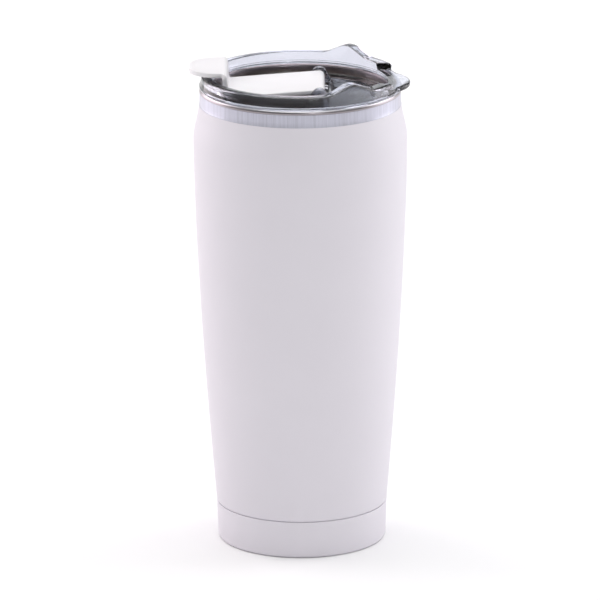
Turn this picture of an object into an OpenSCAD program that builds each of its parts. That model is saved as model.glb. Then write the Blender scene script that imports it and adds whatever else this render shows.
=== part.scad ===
// Insulated tumbler: a double-walled steel cup, a clear press-in lid and a hinged flip cover.
// Millimetres, +Z up. The origin is on the floor, at the centre of the foot.
// The thumb tab of the cover points to -X, and its hinge axis runs along Y.

/* [Cup] */
// Height of the steel cup, from the floor to the top of the lip
cup_h = 190; // [180:1:200]
// Largest diameter of the body
body_d = 87; // [86:0.2:89]
// Height at which the body is widest
wide_z = 168; // [164:1:170]
// Diameter at the seam above the base cup
seam_d = 69.8; // [67:0.2:73]
// Height of the seam above the base cup
seam_z = 15.6; // [14:0.2:18]
// Diameter where the side wall reaches the foot
foot_d = 68.8; // [66:0.2:69]
// Diameter of the bare band under the lip
band_d = 82; // [81:0.2:82.4]
// Inside diameter of the mouth
mouth_d = 76.4; // [76:0.1:76.8]
// Thickness of each steel sheet
sheet = 0.5; // [0.4:0.1:0.6]
// Distance across the double wall, from the outer face to the inner face
double_wall = 4.6; // [4.2:0.1:5]
// Height of the floor of the drinking space
floor_z = 16; // [15:0.5:20]

/* [Lid] */
// Outer diameter of the clear rim at its top edge
rim_d = 80; // [79:0.2:80.4]
// Inner diameter of the rim
well_d = 72.6; // [72:0.2:73]
// Height of the rim above the lip
rim_h = 5.3; // [4:0.1:6]
// Height of the two crests above the rim
crest_h = 3.9; // [2:0.1:4.5]
// Depth of the deck below the lip
deck_drop = 3.5; // [3:0.1:4]
// Thickness of the deck
deck_t = 1.8; // [1.4:0.1:2]
// Reach of the rear lug from the centre
lug_reach = 44.6; // [43:0.2:45]

/* [Flip cover] */
// Width of the cover
cover_w = 32.4; // [30:0.2:33]
// Thickness of the cover
cover_t = 1.8; // [1.6:0.1:2]
// Reach of the thumb tab from the centre
tab_reach = 45; // [43:0.2:46]
// Width of the thumb tab
tab_w = 27.8; // [24:0.2:28]
// Distance of the hinge axis from the centre
hinge_x = 7.8; // [7:0.1:8.5]
// Radius of the hinge barrel
barrel_r = 2.2; // [2:0.1:2.3]
// Radius of the hinge pin
pin_r = 1; // [0.8:0.1:1.1]

/* [Hidden] */
$fn = 128;
eps = 0.01;

// Cup
body_r = body_d / 2;
seam_r = seam_d / 2;
foot_r = foot_d / 2;
band_r = band_d / 2;
mouth_r = mouth_d / 2;
taper_power = 1.55;
band_z = cup_h - 5;
neck_z = wide_z + 9;
lip_r = (band_r - mouth_r) / 2;
weld_z = cup_h - lip_r - 0.4;
seam_gap = 0.4;
sleeve_h = 3;
sleeve_play = 0.05;
floor_corner_r = 7;
foot_fillet = 1.4;
recess_r = 29;
recess_h = 2.5;
recess_slope = 0.6;
disc_r = 27.5;
seal_hole_r = 0.8;
bead_r = 2.6;
bead_h = 1.3;
getter_r = 4.9;
getter_h = 2.2;
holder_t = 0.3;
holder_play = 0.1;
holder_flange_r = 8;

// Lid
rim_r = rim_d / 2;
well_r = well_d / 2;
seat_z = cup_h + 0.2;
rim_z = cup_h + rim_h;
deck_z = cup_h - deck_drop;
deck_low = deck_z - deck_t;
flange_r = band_r - 0.1;
flange_t = 0.8;
rim_draft = 0.6;
wall_r = mouth_r - 0.4;
skirt_in = 33.6;
skirt_r = 35.2;
skirt_h = 6.2;
skirt_low = deck_low - skirt_h;
groove_lip = 1;
groove_r = mouth_r - 1;
gasket_r = mouth_r - 0.3;
gasket_core_r = 36.4;
fin_t = 0.6;
fin_count = 3;
crest_from = 10;
crest_x = 20;
crest_to = 30.5;
crest_end_drop = 0.2;
notch_w = cover_w + 1.2;
notch_z = cup_h + 2.3;
notch_x = 28;
rail_in = well_r - 0.9;
rail_out = rim_r + 0.7;
rail_y = 22;
lug_r = 17;
lug_t = 2.1;

// Drink and vent openings, in the deck under the cover
drink_x = -22;
drink_w = 7;
drink_l = 16;
vent_x = -5;
vent_r = 1.5;
boss_t = 1.2;
boss_h = 0.5;

// Hinge
hinge_z = cup_h + 0.3;
ear_in = cover_w / 2 + 0.4;
ear_t = 2.2;
ear_r = 3.3;
ear_x = [1.6, 13.1];
ear_foot_h = 1.2;
stop_wall_t = 1.8;
stop_wall_h = 1.7;
bore_play = 0.05;

// Cover: its plate leans from the top of the barrel down to the foot of the riser
riser_x = -28.7;
plate_end_z = cup_h - 0.2;
lean = atan((hinge_z + barrel_r - plate_end_z) / (hinge_x - riser_x));
tab_z = cup_h + 8.8;
tab_t = 1.9;
riser_top_x = -30.6;
riser_t = 2.1;
tab_corner_r = 11.5;
cover_corner_r = 2;
cover_left_x = -31.4;
seal_play = 0.45;
seal_gap = 0.2;
seal_plug_h = 1.1;
seal_pad = 1.5;
vent_pad_r = 3;

function mix(a, b, t) = a + (b - a) * t;
function ease(t) = (1 - cos(180 * t)) / 2;
function steps(a, b, n) = [for (i = [0:n]) mix(a, b, i / n)];
function turned(list) = [for (i = [len(list) - 1:-1:0]) list[i]];
function arc(x, y, r, from, to, n = 8) = [for (a = steps(from, to, n)) [x + r * cos(a), y + r * sin(a)]];

// Outer face of the body: a taper that flattens towards its widest height, then the shoulder and the band
function outer_r(z) =
    z <= wide_z ? body_r - (body_r - seam_r) * pow((wide_z - z) / (wide_z - seam_z), taper_power)
    : z < band_z ? mix(body_r, band_r, ease((z - wide_z) / (band_z - wide_z)))
    : band_r;

// Inner face of the liner, which keeps the double wall's width up to the neck
function liner_r(z) =
    z <= wide_z ? outer_r(z) - double_wall
    : z < neck_z ? mix(body_r - double_wall, mouth_r, ease((z - wide_z) / (neck_z - wide_z)))
    : mouth_r;

// Top of the cover's plate at a given X
function plate_z(x) = hinge_z + barrel_r / cos(lean) - (hinge_x - x) * tan(lean);

// Sheet metal turned about Z between a shown face and a hidden face, both listed in the same order
module turned_sheet(shown, hidden) {
    rotate_extrude() polygon(concat(shown, turned(hidden)));
}

module ring(r_in, r_out, low, high) {
    translate([0, 0, low]) difference() {
        cylinder(r = r_out, h = high - low);
        translate([0, 0, -1]) cylinder(r = r_in, h = high - low + 2);
    }
}

// Flat slot with round ends, long in Y
module slot(width, length) {
    for (side = [-1, 1]) translate([0, side * (length - width) / 2]) circle(d = width);
    square([width, length - width], center = true);
}

// Bar along Y at the hinge axis
module hinge_rod(r, length) {
    translate([hinge_x, length / 2, hinge_z]) rotate([90, 0, 0]) cylinder(r = r, h = length);
}

// Side view, drawn in X and Z, made into a slab that is centred on Y
module side_slab(width) {
    translate([0, width / 2, 0]) rotate([90, 0, 0]) linear_extrude(width) children();
}

module outer_shell() {
    heights = concat(steps(seam_z + seam_gap / 2, wide_z, 18), [for (i = [1:10]) mix(wide_z, band_z, i / 10)], [weld_z]);
    color("gainsboro")
    turned_sheet([for (z = heights) [outer_r(z), z]], [for (z = heights) [outer_r(z) - sheet, z]]);
}

module base_cup() {
    seam_low = seam_z - seam_gap / 2;
    sleeve_r = seam_r - sheet - sleeve_play;
    foot_arc = arc(foot_r - foot_fillet, foot_fillet, foot_fillet, 0, -90);
    foot_inner_arc = arc(foot_r - foot_fillet, foot_fillet, foot_fillet - sheet, 0, -90);
    shown = concat(
        [[sleeve_r, seam_z + sleeve_h], [sleeve_r, seam_low], [seam_r, seam_low]],
        foot_arc,
        [[recess_r, 0], [recess_r - recess_slope, recess_h], [seal_hole_r, recess_h]]);
    hidden = concat(
        [[sleeve_r - sheet, seam_z + sleeve_h], [sleeve_r - sheet, seam_low - sheet], [seam_r - sheet, seam_low - sheet]],
        foot_inner_arc,
        [[recess_r + sheet, sheet], [recess_r - recess_slope + sheet, recess_h + sheet],
         [seal_hole_r, recess_h + sheet]]);
    color("gainsboro") turned_sheet(shown, hidden);
}

module base_disc() {
    bead = 0.4;
    shown = [[0, recess_h - sheet], [disc_r - 6, recess_h - sheet], [disc_r - 5, recess_h - sheet - bead],
             [disc_r - 4, recess_h - sheet], [disc_r, recess_h - sheet]];
    color("silver") rotate_extrude() polygon(concat(shown, [[disc_r, recess_h], [0, recess_h]]));
}

module vacuum_seal() {
    low = recess_h + sheet;
    color("dimgray") rotate_extrude() polygon(concat(
        [[0, recess_h], [seal_hole_r, recess_h], [seal_hole_r, low]],
        [for (t = steps(0, 90, 8)) [bead_r * cos(t), low + bead_h * sin(t)]]));
}

module inner_liner() {
    wall_low = floor_z + floor_corner_r;
    corner_x = liner_r(wall_low) - floor_corner_r;
    lip_x = band_r - lip_r;
    lip_z = cup_h - lip_r;
    heights = concat(steps(wall_low, wide_z, 18), [for (i = [1:6]) mix(wide_z, neck_z, i / 6)]);
    shown = concat(
        [[0, floor_z]],
        arc(corner_x, wall_low, floor_corner_r, -90, 0),
        [for (z = heights) [liner_r(z), z]],
        arc(lip_x, lip_z, lip_r, 180, 0, 12),
        [[band_r, weld_z]]);
    hidden = concat(
        [[0, floor_z - sheet]],
        arc(corner_x, wall_low, floor_corner_r + sheet, -90, 0),
        [for (z = heights) [liner_r(z) + sheet, z]],
        arc(lip_x, lip_z, lip_r - sheet, 180, 0, 12),
        [[band_r - sheet, weld_z]]);
    color("silver") turned_sheet(shown, hidden);
}

module getter_holder() {
    top = floor_z - sheet;
    low = top - getter_h - holder_t - 2 * holder_play;
    wall_in = getter_r + holder_play;
    color("slategray") {
        ring(wall_in, holder_flange_r, top - holder_t, top);
        ring(wall_in, wall_in + holder_t, low, top);
        ring(getter_r - 1.5, wall_in + holder_t, low, low + holder_t);
    }
}

module getter() {
    color("darkslategray")
    translate([0, 0, floor_z - sheet - holder_play - getter_h]) cylinder(r = getter_r, h = getter_h);
}

// Top edge of the rim in side view: level, up over the crest and down to the rear
module rim_side_view() {
    crest_z = rim_z + crest_h;
    end_z = rim_z - crest_end_drop;
    polygon(concat(
        [[-band_r - 2, skirt_low - 1], [-band_r - 2, rim_z]],
        [for (t = steps(0, 1, 10)) [mix(crest_from, crest_x, t), mix(rim_z, crest_z, ease(t))]],
        [for (t = steps(0, 1, 10)) [mix(crest_x, crest_to, t), mix(crest_z, end_z, ease(t))]],
        [[band_r + 2, end_z], [band_r + 2, skirt_low - 1]]));
}

// Everything of the lid that is turned about Z: deck, well wall, rim, flange and grooved skirt
module lid_turned() {
    top = rim_z + crest_h + 1;
    foot = seat_z + flange_t;
    rotate_extrude() polygon([
        [0, deck_low], [skirt_in, deck_low], [skirt_in, skirt_low], [groove_r, skirt_low],
        [groove_r, skirt_low + groove_lip], [skirt_r, skirt_low + groove_lip], [skirt_r, deck_low - groove_lip],
        [wall_r, deck_low - groove_lip], [wall_r, seat_z], [flange_r, seat_z], [flange_r, foot],
        [rim_r + rim_draft, foot], [rim_r - rim_draft * (top - rim_z) / (rim_z - foot), top], [well_r, top],
        [well_r, deck_z], [0, deck_z]]);
}

// Thick ends of the crests, beside the notch that the opened cover lies in
module crest_ends() {
    for (side = [0, 1]) mirror([0, side, 0]) intersection() {
        ring(rail_in, rail_out, notch_z - 1, rim_z - crest_end_drop);
        translate([notch_x - 10, notch_w / 2, 0]) cube([30, rail_y - notch_w / 2, 2 * cup_h]);
    }
}

module rear_lug() {
    difference() {
        translate([lug_reach - lug_r, 0, notch_z - lug_t]) cylinder(r = lug_r, h = lug_t);
        translate([0, 0, cup_h - 5]) cylinder(r = well_r + 1, h = 20);
    }
}

// Two ears for the pin, joined behind the barrel by a low wall that stays under the opened cover
module hinge_collar() {
    for (side = [0, 1]) mirror([0, side, 0]) translate([0, ear_in + ear_t, 0]) rotate([90, 0, 0])
        linear_extrude(ear_t) polygon(concat(
            [[ear_x[0], deck_z - eps], [ear_x[0], deck_z + ear_foot_h]],
            arc(hinge_x, hinge_z, ear_r, 155, 25, 12),
            [[ear_x[1], deck_z + ear_foot_h], [ear_x[1], deck_z - eps]]));
    translate([ear_x[1] - stop_wall_t, -ear_in - eps, deck_z - eps])
        cube([stop_wall_t, 2 * (ear_in + eps), stop_wall_h]);
}

module lid_body() {
    color("lavender", 0.5) difference() {
        union() {
            difference() {
                union() {
                    intersection() {
                        lid_turned();
                        side_slab(2 * band_d) rim_side_view();
                    }
                    crest_ends();
                }
                translate([notch_x, -notch_w / 2, notch_z]) cube([30, notch_w, 20]);
            }
            rear_lug();
            hinge_collar();
            translate([drink_x, 0, deck_z - eps]) linear_extrude(boss_h) slot(drink_w + 2 * boss_t, drink_l + 2 * boss_t);
        }
        translate([drink_x, 0, deck_low - 1]) linear_extrude(deck_t + 3) slot(drink_w, drink_l);
        translate([vent_x, 0, deck_low - 1]) cylinder(r = vent_r, h = deck_t + 2);
        hinge_rod(pin_r, 2 * (ear_in + ear_t) + 2);
    }
}

module lid_gasket() {
    low = skirt_low + groove_lip;
    high = deck_low - groove_lip;
    pitch = (high - low - fin_t) / (fin_count - 1);
    color("whitesmoke") {
        ring(skirt_r, gasket_core_r, low, high);
        for (i = [0:fin_count - 1]) ring(skirt_r, gasket_r, low + i * pitch, low + i * pitch + fin_t);
    }
}

module hinge_pin() {
    color("silver") hinge_rod(pin_r, 2 * (ear_in + ear_t) - 0.4);
}

// Side view of the cover: plate, riser and thumb tab in one bent strip
module cover_side_view() {
    tab_low = tab_z - tab_t;
    plate_low = plate_z(riser_x) - cover_t;
    polygon(concat(
        [[hinge_x, hinge_z + barrel_r], [riser_x + 1.6, plate_z(riser_x + 1.6)]],
        [[riser_x + 0.3, plate_z(riser_x) + 0.35], [riser_x - 0.25, plate_z(riser_x) + 1.5]],
        arc(riser_top_x - 1.3, tab_z - 1.6, 1.6, 15, 90, 6),
        [[-tab_reach - 1, tab_z], [-tab_reach - 1, tab_low]],
        arc(riser_top_x - riser_t - 0.7, tab_low - 0.6, 0.6, 90, 15, 4),
        [[riser_x - riser_t - 0.35, plate_low + 1.6], [riser_x - riser_t + 0.5, plate_low + 0.35],
         [riser_x - riser_t + 1.8, plate_z(riser_x - riser_t + 1.8) - cover_t],
         [hinge_x, plate_z(hinge_x) - cover_t]]));
}

// Plan of the cover: plate with rounded corners, and the narrower tab with a round end
module cover_plan() {
    left = cover_left_x + cover_corner_r;
    right = hinge_x + barrel_r - cover_corner_r;
    half = cover_w / 2 - cover_corner_r;
    for (x = [left, right], y = [-half, half]) translate([x, y]) circle(r = cover_corner_r);
    translate([left, -cover_w / 2]) square([right - left, cover_w]);
    translate([cover_left_x, -half]) square([hinge_x + barrel_r - cover_left_x, 2 * half]);
    tip_x = tab_corner_r - tab_reach;
    tip_y = tab_w / 2 - tab_corner_r;
    for (side = [-1, 1]) translate([tip_x, side * tip_y]) circle(r = tab_corner_r);
    translate([-tab_reach, -tip_y]) square([tab_reach, 2 * tip_y]);
    translate([tip_x, -tab_w / 2]) square([-tip_x, tab_w]);
}

// All that lies under the cover's plate, for trimming what hangs from it
module under_plate() {
    side_slab(cover_w) polygon([
        [riser_x, deck_low - 2], [hinge_x, deck_low - 2],
        [hinge_x, plate_z(hinge_x) - cover_t], [riser_x, plate_z(riser_x) - cover_t]]);
}

module flip_cover() {
    color("white") difference() {
        intersection() {
            union() {
                side_slab(cover_w) cover_side_view();
                hinge_rod(barrel_r, cover_w);
            }
            translate([0, 0, deck_z]) linear_extrude(20) cover_plan();
        }
        hinge_rod(pin_r + bore_play, cover_w + 2);
    }
}

module drink_seal() {
    pad_low = deck_z + boss_h + seal_gap;
    color("lightgray") intersection() {
        under_plate();
        translate([drink_x, 0, 0]) union() {
            translate([0, 0, pad_low]) linear_extrude(4) slot(drink_w + 2 * seal_pad, drink_l + 2 * seal_pad);
            translate([0, 0, deck_z - seal_plug_h + boss_h])
                linear_extrude(3) slot(drink_w - 2 * seal_play, drink_l - 2 * seal_play);
        }
    }
}

module vent_seal() {
    color("lightgray") intersection() {
        under_plate();
        translate([vent_x, 0, deck_z + seal_gap]) cylinder(r = vent_pad_r, h = 6);
    }
}

outer_shell();
base_cup();
base_disc();
vacuum_seal();
inner_liner();
getter_holder();
getter();
lid_body();
lid_gasket();
hinge_pin();
flip_cover();
drink_seal();
vent_seal();
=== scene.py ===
# %% [markdown]
# # An insulated tumbler with a clear lid
# The real object is a double-walled steel cup with a powder coat, a clear lid that presses into its mouth,
# and a white cover that flips up on a pin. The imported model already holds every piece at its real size.
# This notebook keeps those sizes, and models each piece that can be seen with the roundings, seams and
# finishes that the plain solids lack.

# %% Load the frame
import math

import bpy
from mathutils import Matrix, Vector


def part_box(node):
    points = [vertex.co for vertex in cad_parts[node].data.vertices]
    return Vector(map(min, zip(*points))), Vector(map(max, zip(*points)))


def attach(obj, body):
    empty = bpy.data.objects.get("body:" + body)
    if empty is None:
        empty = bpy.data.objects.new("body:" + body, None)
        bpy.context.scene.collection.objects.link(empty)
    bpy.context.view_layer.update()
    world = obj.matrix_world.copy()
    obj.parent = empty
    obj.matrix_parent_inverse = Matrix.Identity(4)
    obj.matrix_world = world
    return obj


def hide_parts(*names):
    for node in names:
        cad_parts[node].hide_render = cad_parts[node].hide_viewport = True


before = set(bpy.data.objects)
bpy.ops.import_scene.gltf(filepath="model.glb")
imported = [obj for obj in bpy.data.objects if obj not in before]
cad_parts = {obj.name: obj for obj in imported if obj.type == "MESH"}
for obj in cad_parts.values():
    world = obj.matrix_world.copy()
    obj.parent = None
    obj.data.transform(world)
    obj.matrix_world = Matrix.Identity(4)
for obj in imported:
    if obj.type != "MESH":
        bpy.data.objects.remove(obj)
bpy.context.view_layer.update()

MM = 0.001

# %% [markdown]
# ## The camera
# The object is looked at from a little above and from far away, so its sides stay almost parallel. A long
# lens does that. A shift of the lens could frame it too, but aiming the camera keeps other views simple.

# %% Camera
CAMERA_DISTANCE = 3.0
CAMERA_ELEVATION = math.radians(15.95)
CAMERA_ROLL = math.radians(-0.24)
CAMERA_AIM = Vector((-0.43 * MM, 0, 99.8 * MM))
LENS = 440.5

bpy.ops.object.select_all(action="DESELECT")
back = Vector((0, -math.cos(CAMERA_ELEVATION), math.sin(CAMERA_ELEVATION)))
tilt = Matrix.Rotation(math.pi / 2 - CAMERA_ELEVATION, 3, "X") @ Matrix.Rotation(CAMERA_ROLL, 3, "Z")
bpy.ops.object.camera_add(location=CAMERA_AIM + CAMERA_DISTANCE * back, rotation=tilt.to_euler())
camera = bpy.context.object
camera.data.lens = LENS
camera.data.clip_end = 50
bpy.context.scene.camera = camera
print("camera", round(CAMERA_DISTANCE, 2), "m away, lens", LENS, "mm")

# %% [markdown]
# ## Floor and light
# A studio would use a white sweep and large soft boxes. A plane that runs far past the view does the same
# work as the sweep. The two side boxes brighten the edges of the body, and the weak front leaves its middle
# a little darker, which is what shows that it is round. The back box is there for the clear lid, whose level
# deck mirrors it. A wide sun overhead keeps the floor white and every shadow faint.

# %% Floor
FLOOR_SIZE = 14

bpy.ops.mesh.primitive_plane_add(size=FLOOR_SIZE, location=(0, 0, 0))
floor = bpy.context.object
floor.name = "floor"
print("floor", FLOOR_SIZE, "m wide")

# %% Soft boxes
SOFT_BOXES = [
    # name, place, size, power, colour
    ("left_box", (-1.05, 0.61, 0.5), (1.1, 1.4), 9.4, (1, 0.9, 0.94)),
    ("right_box", (1.14, 0.46, 0.5), (0.9, 1.4), 7.6, (0.99, 0.96, 1)),
    ("back_box", (0.1, 2.3, 0.86), (2.4, 0.7), 5.5, (0.93, 0.95, 1)),
    ("front_box", (0.62, -2.1, 1.0), (0.5, 0.4), 4.0, (0.96, 0.97, 1)),
]
LIGHT_AIM = Vector((0, 0, 0.1))


def soft_box(name, place, size, power, colour):
    """Adds an area lamp that faces the aim. The camera doesn't see the lamp itself."""
    bpy.ops.object.light_add(type="AREA", location=place)
    lamp = bpy.context.object
    lamp.name = name
    lamp.rotation_euler = (Vector(place) - LIGHT_AIM).to_track_quat("Z", "Y").to_euler()
    lamp.data.shape = "RECTANGLE"
    lamp.data.size, lamp.data.size_y = size
    lamp.data.energy = power
    lamp.data.color = colour
    lamp.visible_camera = False


for row in SOFT_BOXES:
    soft_box(*row)
print("soft boxes:", len(SOFT_BOXES))

# %% Light from all round
WORLD_STRENGTH = 0.2
SKY_SUN = 2.1
SKY_ANGLE = math.radians(70)

bpy.ops.object.light_add(type="SUN", location=(0, 0, 2))
sky = bpy.context.object
sky.name = "overhead"
sky.data.energy = SKY_SUN
sky.data.angle = SKY_ANGLE

world = bpy.data.worlds.new("studio")
bpy.context.scene.world = world
world.use_nodes = True
world.node_tree.nodes["Background"].inputs["Color"].default_value = (1, 1, 1, 1)
world.node_tree.nodes["Background"].inputs["Strength"].default_value = WORLD_STRENGTH
bpy.context.scene.view_settings.view_transform = "Standard"
print("sun", SKY_SUN, "and world", WORLD_STRENGTH)

# %% [markdown]
# ## A small kit for materials
# A material is a graph of nodes. Written node by node, its maths is hard to read, so one small class wraps
# an output socket and turns Python's operators into Math nodes. Every other node comes from its one method,
# which sets the node up first and then fills its sockets.

# %% Shader kit
class Wire:
    """An output socket in a material. Arithmetic on it adds Math nodes."""

    def __init__(self, tree, socket=None):
        self.tree = tree
        self.socket = socket

    def make(self, kind, settings=None, inputs=None, output=0):
        """Adds a node of any type, and gives the wire from one of its outputs."""
        node = self.tree.nodes.new(kind)
        for name, value in (settings or {}).items():
            if name == "stops":
                ramp = node.color_ramp.elements
                for i, (place, colour) in enumerate(value):
                    stop = ramp[i] if i < len(ramp) else ramp.new(place)
                    stop.position = place
                    stop.color = (*colour, 1)
            else:
                setattr(node, name, value)
        for name, value in (inputs or {}).items():
            if isinstance(value, Wire):
                self.tree.links.new(value.socket, node.inputs[name])
            else:
                node.inputs[name].default_value = value
        return Wire(self.tree, node.outputs[output])

    def maths(self, operation, first, second=0.0):
        return self.make("ShaderNodeMath", {"operation": operation}, {0: first, 1: second})

    def __add__(self, other):
        return self.maths("ADD", self, other)

    __radd__ = __add__

    def __sub__(self, other):
        return self.maths("SUBTRACT", self, other)

    def __rsub__(self, other):
        return self.maths("SUBTRACT", other, self)

    def __mul__(self, other):
        return self.maths("MULTIPLY", self, other)

    __rmul__ = __mul__


# %% [markdown]
# Most finishes start alike: a Principled shader with a few fixed values, a place on the piece, and noise. The
# helpers below are named for what they give, so that a finish reads like its description.

# %% Helpers for finishes
def new_material(name, **fixed):
    """A material, its Principled shader with these fixed values, and a wire to build on."""
    material = bpy.data.materials.new(name)
    material.use_nodes = True
    shader = material.node_tree.nodes["Principled BSDF"]
    for socket, value in fixed.items():
        shader.inputs[socket.replace("_", " ")].default_value = value
    return material, shader, Wire(material.node_tree)


def feed(shader, **wires):
    """Links wires to the shader's sockets."""
    for socket, wire in wires.items():
        wire.tree.links.new(wire.socket, shader.inputs[socket.replace("_", " ")])


def own_place(wire):
    """Where a point lies on the piece, in metres in the row frame."""
    return wire.make("ShaderNodeTexCoord", output="Object")


def noise(wire, place, per_metre, detail=3.0, roughness=0.5):
    """Cloudy value from 0 to 1, with this many cells in a metre."""
    return wire.make("ShaderNodeTexNoise", inputs={
        "Vector": place, "Scale": per_metre, "Detail": detail, "Roughness": roughness})


def stretched(wire, place, scale):
    """The same place, with each axis multiplied."""
    return wire.make("ShaderNodeMapping", inputs={"Vector": place, "Scale": scale})


def between(wire, low, high, value):
    """A colour between two, by a value from 0 to 1."""
    colours = {0: value, 6: (*low, 1), 7: (*high, 1)}
    return wire.make("ShaderNodeMix", {"data_type": "RGBA"}, colours, output=2)


def darker(tone, factor):
    """The same colour with less light."""
    return tuple(factor * c for c in tone)


def bump(wire, height, depth, strength):
    """A normal that leans with a height from 0 to 1, for a relief this deep in metres."""
    return wire.make("ShaderNodeBump", inputs={"Height": height, "Distance": depth, "Strength": strength})


# %% [markdown]
# ## The finishes
# Powder coat melts from a dust, so it keeps a fine, soft orange peel and a low, even gloss. Its relief comes
# from two sizes of noise in a bump, and a faint third one keeps its gloss from being perfectly even.

# %% Powder coat
def powder_coat():
    material, shader, wire = new_material("powder_coat", Specular_IOR_Level=0.45)
    place = own_place(wire)
    peel = noise(wire, place, 900, 2) * 0.65 + noise(wire, place, 2600, 2) * 0.35
    clouds = noise(wire, place, 28, 2)
    feed(shader,
         Base_Color=between(wire, (0.8, 0.77, 0.825), (0.84, 0.81, 0.865), clouds),
         Roughness=0.46 + clouds * 0.06 + peel * 0.04,
         Normal=bump(wire, peel, 0.00006, 0.55))
    return material


# %% [markdown]
# Bare stainless steel shows the direction in which it was ground. The noise is stretched along the strokes:
# upright on the band that the coat leaves free, and round the axis on what was turned in a lathe.

# %% Steel
def ground_steel(name, scale, tone, gloss):
    """Steel with strokes along the axis whose scale is smallest."""
    material, shader, wire = new_material(name, Metallic=1.0)
    place = own_place(wire)
    strokes = noise(wire, stretched(wire, place, scale), 1.0, 4, 0.62)
    stains = noise(wire, place, 60, 2)
    feed(shader,
         Base_Color=between(wire, darker(tone, 0.76), tone, strokes * 2.6 - 0.8),
         Roughness=gloss + strokes * 0.14 + stains * 0.05,
         Normal=bump(wire, strokes, 0.00001, 0.5))
    return material


# %% [markdown]
# Strokes that run round the axis need other axes for the noise: the distance from the middle, the turn and
# the height. The first and last are scaled up and the turn isn't, which draws the noise out into rings. The
# lip can also have a painted highlight: a lighter tone painted over the last fraction of its height, where
# light from above would catch its rolled top.

# %% Turned steel
STROKES_PER_METRE = 5200
STROKES_PER_TURN = 1.4
# The painted highlight on the lip's top reaches its full tone 0.7 mm above its start.
PAINTED_HIGHLIGHT_SLOPE = 1400     # per metre: the crest's tone is full 0.7 mm above its start


def turned_steel(name, tone, gloss=0.2, painted_highlight=None):
    """Steel with strokes round Z. A painted highlight is a lighter tone, and the height in metres where it
    starts.
    """
    material, shader, wire = new_material(name, Metallic=1.0)
    place = own_place(wire)
    x, y, z = (wire.make("ShaderNodeSeparateXYZ", inputs={"Vector": place}, output=i) for i in range(3))
    radius = wire.maths("SQRT", x * x + y * y)
    turn = wire.maths("ARCTAN2", y, x)
    rolled = wire.make("ShaderNodeCombineXYZ", inputs={
        0: radius * STROKES_PER_METRE, 1: turn * STROKES_PER_TURN, 2: z * STROKES_PER_METRE})
    strokes = noise(wire, rolled, 1.0, 3, 0.6)
    stains = noise(wire, place, 45, 2)
    # Painted highlight: the tone turns lighter towards the lip's top, as if light from above caught it.
    if painted_highlight:
        light, from_z = painted_highlight
        colour = between(wire, tone, light, (z - from_z) * PAINTED_HIGHLIGHT_SLOPE + strokes * 0.2)
    else:
        colour = between(wire, darker(tone, 0.88), tone, strokes)
    feed(shader,
         Base_Color=colour,
         Roughness=gloss + strokes * 0.12 + stains * 0.06,
         Normal=bump(wire, strokes, 0.000008, 0.5))
    return material


# %% [markdown]
# The lid is injection moulded from a clear, hard plastic. It bends light like glass, with a slightly uneven
# skin where the melt flowed. A shader can't see how thick a wall is, so the tall rim gets a denser and bluer
# tone than the thin deck by its height.

# %% Clear plastic
DECK_TINT = (0.9, 0.895, 0.92)
RIM_TINT = (0.7, 0.72, 0.8)
RIM_TINT_FROM = 0.187
RIM_TINT_SLOPE = 500   # per metre: the rim's tone is full 2 mm above its start


def clear_plastic():
    material, shader, wire = new_material("clear_plastic", Transmission_Weight=1.0, IOR=1.52)
    place = own_place(wire)
    flow = noise(wire, place, 110, 2)
    height = wire.make("ShaderNodeSeparateXYZ", inputs={"Vector": place}, output=2)
    feed(shader,
         Base_Color=between(wire, DECK_TINT, RIM_TINT, (height - RIM_TINT_FROM) * RIM_TINT_SLOPE),
         Roughness=0.015 + flow * 0.03,
         Normal=bump(wire, flow, 0.0003, 0.5))
    return material


# %% [markdown]
# The cover is moulded from a filled white plastic, with a fine satin from its tool and a trace of light under
# the skin. The seals are silicone, which is milky and picks up dust, so it is rougher and lets light through.

# %% White plastic and silicone
def white_plastic():
    material, shader, wire = new_material("white_plastic", IOR=1.5, Subsurface_Weight=0.08)
    shader.inputs["Subsurface Radius"].default_value = (0.002, 0.0018, 0.0016)
    place = own_place(wire)
    grain = noise(wire, place, 4200, 2)
    clouds = noise(wire, place, 70, 2)
    feed(shader,
         Base_Color=between(wire, (0.85, 0.835, 0.85), (0.89, 0.875, 0.89), clouds),
         Roughness=0.3 + grain * 0.12 + clouds * 0.06,
         Normal=bump(wire, grain, 0.00002, 0.4))
    return material


def silicone():
    material, shader, wire = new_material("silicone", IOR=1.41, Transmission_Weight=0.6)
    place = own_place(wire)
    dust = noise(wire, place, 1500, 3)
    clouds = noise(wire, place, 90, 2)
    feed(shader,
         Base_Color=between(wire, (0.72, 0.72, 0.715), (0.82, 0.82, 0.81), clouds),
         Roughness=0.48 + dust * 0.2,
         Normal=bump(wire, dust, 0.00003, 0.5))
    return material


# %% [markdown]
# The small parts in the vacuum are cast or pressed, with a coarse grain and no polish. The floor needs
# little: a matt near-white with very faint clouds, so that it isn't perfectly even.

# %% Rough metal and floor
def rough_metal(name, tone, cells):
    """Cast or pressed metal, with this many grains in a metre."""
    material, shader, wire = new_material(name, Metallic=0.85)
    grain = noise(wire, own_place(wire), cells, 4, 0.6)
    feed(shader,
         Base_Color=between(wire, darker(tone, 0.6), tone, grain),
         Roughness=0.45 + grain * 0.3,
         Normal=bump(wire, grain, 0.00008, 0.6))
    return material


def studio_floor():
    material, shader, wire = new_material("studio_floor", Specular_IOR_Level=0.2)
    clouds = noise(wire, own_place(wire), 1.5, 2)
    feed(shader,
         Base_Color=between(wire, (0.93, 0.93, 0.93), (0.95, 0.95, 0.95), clouds),
         Roughness=0.8 + clouds * 0.1)
    return material


# %% All finishes
# A painted highlight on the lip's rolled top: this lighter tone, from this height upwards.
LIP_PAINTED_HIGHLIGHT = ((0.95, 0.94, 0.97), 0.1891)

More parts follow.
